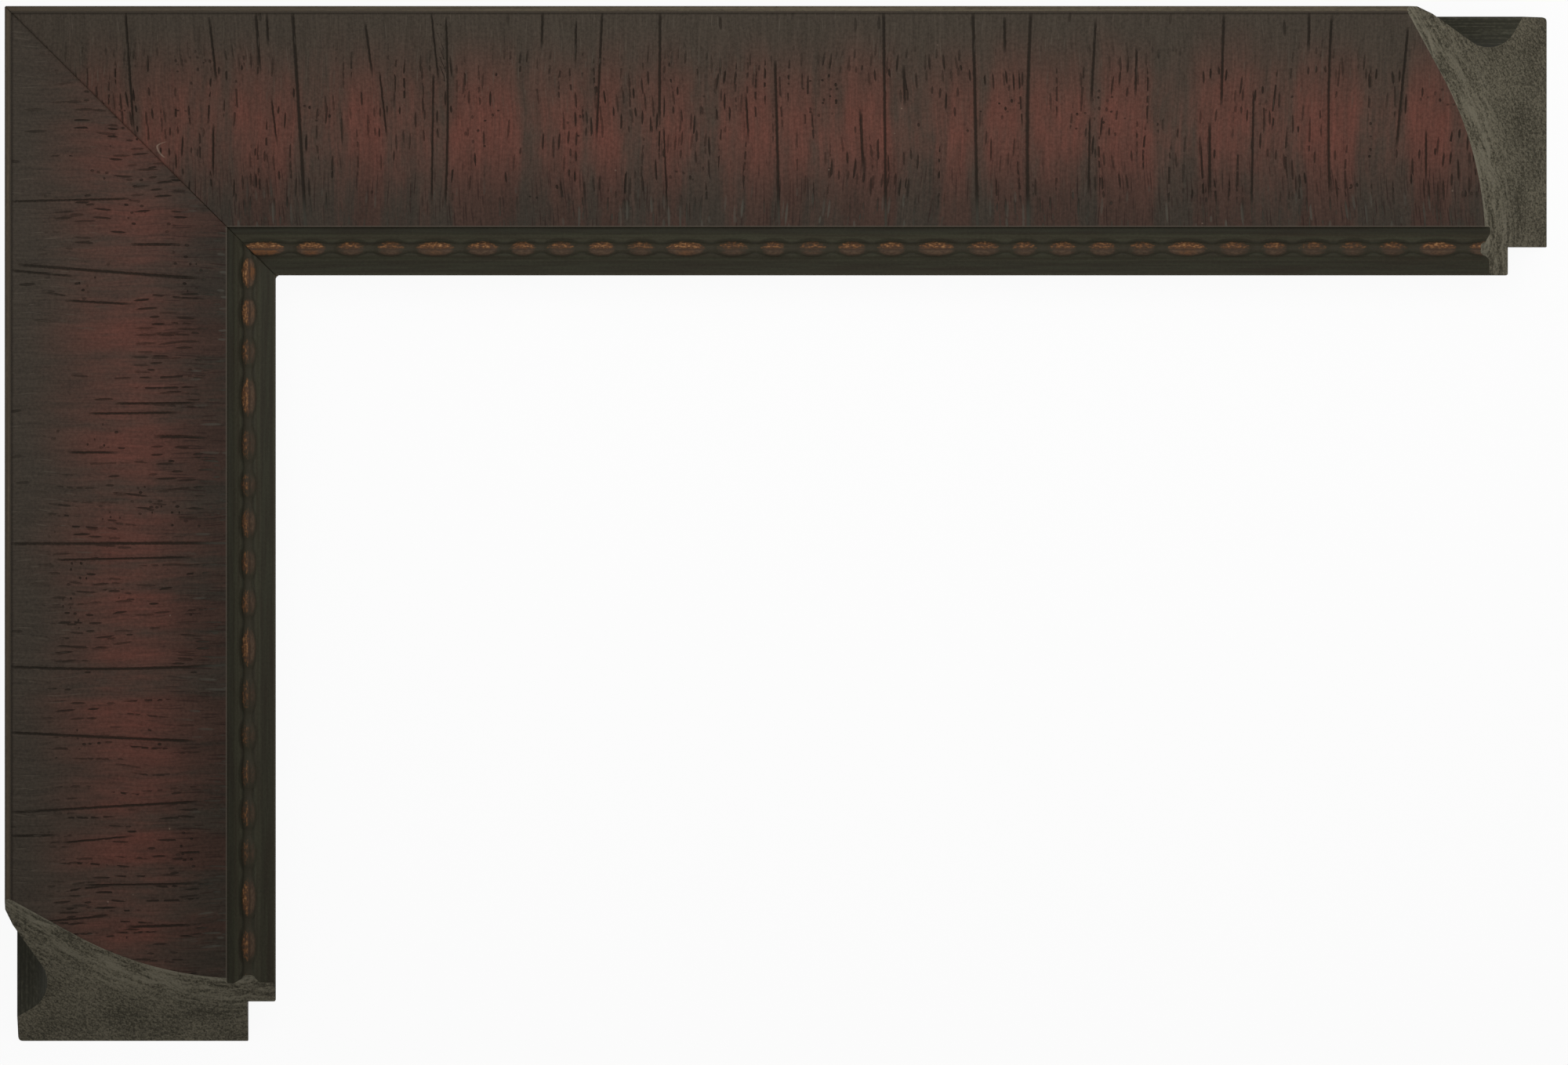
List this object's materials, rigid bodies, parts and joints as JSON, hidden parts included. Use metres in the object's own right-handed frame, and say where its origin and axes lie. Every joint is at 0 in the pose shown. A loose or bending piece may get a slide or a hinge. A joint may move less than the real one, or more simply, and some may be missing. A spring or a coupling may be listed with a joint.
{
  "type": "picture frame moulding corner",
  "caption": "Mitred corner of scooped picture frame moulding: dark cross-grain face, gilt-worn beaded lip, rabbet for glass and picture, coved outer side.",
  "frame": {"origin": "on the back plane, below the middle of the corner's bounding box", "axes": "+X along the long top rail, away from the mitre; +Y up in the picture's plane, so the side rail runs along -Y; +Z out of the moulding's face"},
  "size_m": [0.347, 0.233, 0.033],
  "materials": {
    "moulding": "satin dark mahogany stain over open-pored cross-grain face"
  },
  "bodies": {
    "root": {"top_rail": "moulding", "side_rail": "moulding"}
  },
  "joints": []
}
